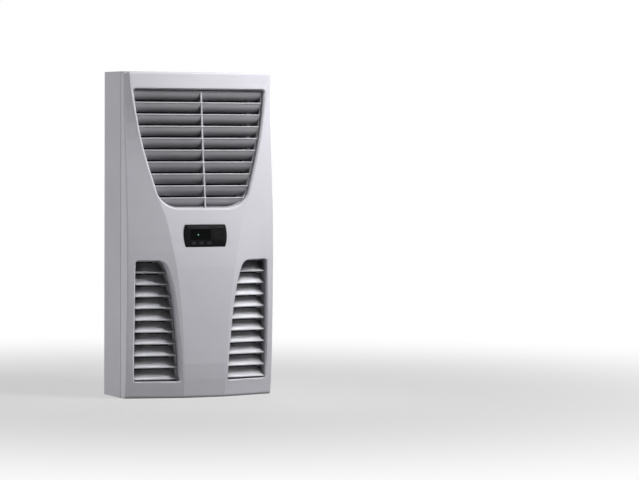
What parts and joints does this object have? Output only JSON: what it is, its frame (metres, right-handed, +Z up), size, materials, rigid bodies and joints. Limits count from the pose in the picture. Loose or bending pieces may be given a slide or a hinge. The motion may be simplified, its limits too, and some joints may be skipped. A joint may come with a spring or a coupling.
{
  "type": "enclosure cooling unit",
  "caption": "Slim wall-mounted cooling unit for a control cabinet: folded steel chassis, crowned moulded front with louvred grilles and a small display, and a refrigeration circuit inside.",
  "frame": {"origin": "middle of the footprint, on the level that the unit stands on", "axes": "+X to the right as seen from the front, the front faces -Y, +Z up"},
  "size_m": [0.268, 0.135, 0.55],
  "materials": {
    "cover_finish": "satin, fine texture",
    "chassis_paint": "satin powder coat",
    "seal_foam": "matte foam",
    "controller_plastic": "satin",
    "display_glass": "gloss",
    "lamp_lens": "gloss",
    "key_rubber": "matte",
    "board_laminate": "satin",
    "zinc_sheet": "zinc plated",
    "zinc_fixing": "zinc plated",
    "coil_coat": "black coated, matte",
    "fin_alloy": "mill finish",
    "motor_alloy": "die cast",
    "wheel_plastic": "satin",
    "foam_housing": "moulded foam",
    "tray_plastic": "satin",
    "compressor_paint": "black enamel",
    "copper_tube": "drawn tube",
    "valve_brass": "machined"
  },
  "bodies": {
    "root": {"rear_chassis": "chassis_paint", "rear_gasket": "seal_foam", "cover_seal": "seal_foam", "front_cover": "cover_finish", "cover_studs": "zinc_fixing", "left_vent": "cover_finish", "right_vent": "cover_finish", "controller_housing": "controller_plastic", "display_window": "display_glass", "status_led": "lamp_lens", "controller_board": "board_laminate", "fan_shroud": "zinc_sheet", "condenser_inlet_ring": "wheel_plastic", "condenser_fins": "coil_coat", "condenser_tubes": "coil_coat", "condenser_headers": "fin_alloy", "condenser_brackets": "zinc_sheet", "condenser_motor": "motor_alloy", "evaporator_housing": "foam_housing", "evaporator_inlet_ring": "wheel_plastic", "evaporator_guard": "zinc_sheet", "evaporator_fins": "fin_alloy", "evaporator_tubes": "fin_alloy", "evaporator_headers": "fin_alloy", "evaporator_brackets": "zinc_sheet", "evaporator_motor": "motor_alloy", "condensate_tray": "tray_plastic", "drain_nipple": "tray_plastic", "compressor": "compressor_paint", "compressor_shelf": "zinc_sheet", "compressor_grommets": "key_rubber", "compressor_bolts": "zinc_fixing", "terminal_cover": "controller_plastic", "suction_accumulator": "compressor_paint", "filter_drier": "copper_tube", "expansion_valve": "valve_brass", "discharge_pipe": "copper_tube", "liquid_pipe": "copper_tube", "feed_pipe": "copper_tube", "suction_pipe": "copper_tube", "return_pipe": "copper_tube", "control_box": "controller_plastic", "control_box_lid": "controller_plastic", "power_board": "board_laminate", "run_capacitor": "motor_alloy", "connector": "controller_plastic", "rivet_nuts": "zinc_fixing"},
    "upper_grille_body": {"upper_grille": "cover_finish"},
    "condenser_wheel_body": {"condenser_wheel": "wheel_plastic"},
    "evaporator_wheel_body": {"evaporator_wheel": "wheel_plastic"},
    "key_left_body": {"key_left": "key_rubber"},
    "key_middle_body": {"key_middle": "key_rubber"},
    "key_right_body": {"key_right": "key_rubber"}
  },
  "joints": [
    {"name": "grille_pull", "type": "slide", "parent": "root", "child": "upper_grille_body", "axis": [0, -1, 0], "range_m": [0, 0.06]},
    {"name": "condenser_spin", "type": "hinge", "parent": "root", "child": "condenser_wheel_body", "pos_m": [0, 0.0555, 0.425], "axis": [0, -1, 0], "continuous": true},
    {"name": "evaporator_spin", "type": "hinge", "parent": "root", "child": "evaporator_wheel_body", "pos_m": [0, 0.024, 0.215], "axis": [0, -1, 0], "continuous": true},
    {"name": "key_left_press", "type": "slide", "parent": "root", "child": "key_left_body", "axis": [0, 1, 0], "range_m": [0, 0.0008], "stiffness_N_per_m": 900},
    {"name": "key_middle_press", "type": "slide", "parent": "root", "child": "key_middle_body", "axis": [0, 1, 0], "range_m": [0, 0.0008], "stiffness_N_per_m": 900},
    {"name": "key_right_press", "type": "slide", "parent": "root", "child": "key_right_body", "axis": [0, 1, 0], "range_m": [0, 0.0008], "stiffness_N_per_m": 900}
  ]
}
